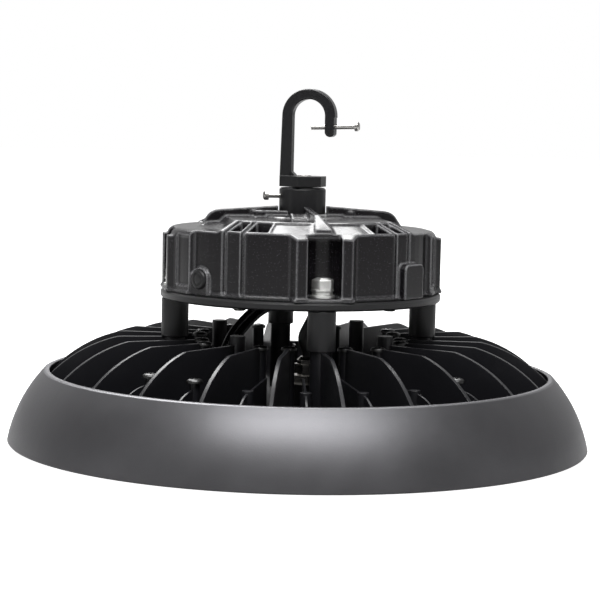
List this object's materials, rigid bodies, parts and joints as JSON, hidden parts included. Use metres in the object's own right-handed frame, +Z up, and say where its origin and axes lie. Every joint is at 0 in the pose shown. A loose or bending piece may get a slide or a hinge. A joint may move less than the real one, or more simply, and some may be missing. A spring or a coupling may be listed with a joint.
{
  "type": "high bay light",
  "caption": "Round high bay lamp: curved ring around a radially finned casting, driver box on posts above it, and a hanging hook with a gate screw.",
  "frame": {"origin": "on the lamp's axis, at the level of the ring's lower edge that it stands on", "axes": "+Z up along the lamp's axis; the four posts stand on the X and Y axes, the front one on -Y; the hook's tip points 22 degrees from +X towards -Y"},
  "size_m": [0.3298, 0.3298, 0.2001],
  "materials": {
    "ring_graphite": "satin graphite powder coat, fine orange peel",
    "sink_black": "black powder coat on a die casting",
    "post_black": "satin black",
    "plate_black": "semi-gloss black",
    "cover_black": "glossy black enamel on a die casting",
    "hook_black": "semi-gloss black",
    "stainless": "bright stainless",
    "zinc": "bright zinc plate",
    "nickel": "satin nickel plate",
    "nylon_black": "moulded nylon",
    "rubber_black": "moulded",
    "lead_black": "extruded sheath",
    "module_aluminium": "plain",
    "board_white": "white solder mask",
    "chip_yellow": "phosphor",
    "lens_clear": "clear polycarbonate"
  },
  "bodies": {
    "root": {"rim_ring": "ring_graphite", "heat_sink": "sink_black", "post_front": "post_black", "post_right": "post_black", "post_rear": "post_black", "post_left": "post_black", "driver_base_plate": "plate_black", "post_bolts": "stainless", "flat_washers": "stainless", "spring_washers": "stainless", "driver_cover": "cover_black", "blanking_plug": "nylon_black", "cover_gasket": "rubber_black", "cover_screws": "stainless", "driver_module": "module_aluminium", "module_screws": "stainless", "hook_collar": "hook_black", "collar_set_screw": "zinc", "hook": "hook_black", "stem_pin": "hook_black", "gate_screw": "zinc", "frame_screws": "stainless", "column_screws": "stainless", "led_board": "board_white", "led_chips": "chip_yellow", "lens": "lens_clear", "lens_gasket": "rubber_black", "lens_frame": "plate_black", "top_glands": "nylon_black", "centre_gland": "nickel", "lead_grommet": "rubber_black", "mains_gland": "nylon_black", "left_lead": "lead_black", "front_lead": "lead_black"}
  },
  "joints": []
}
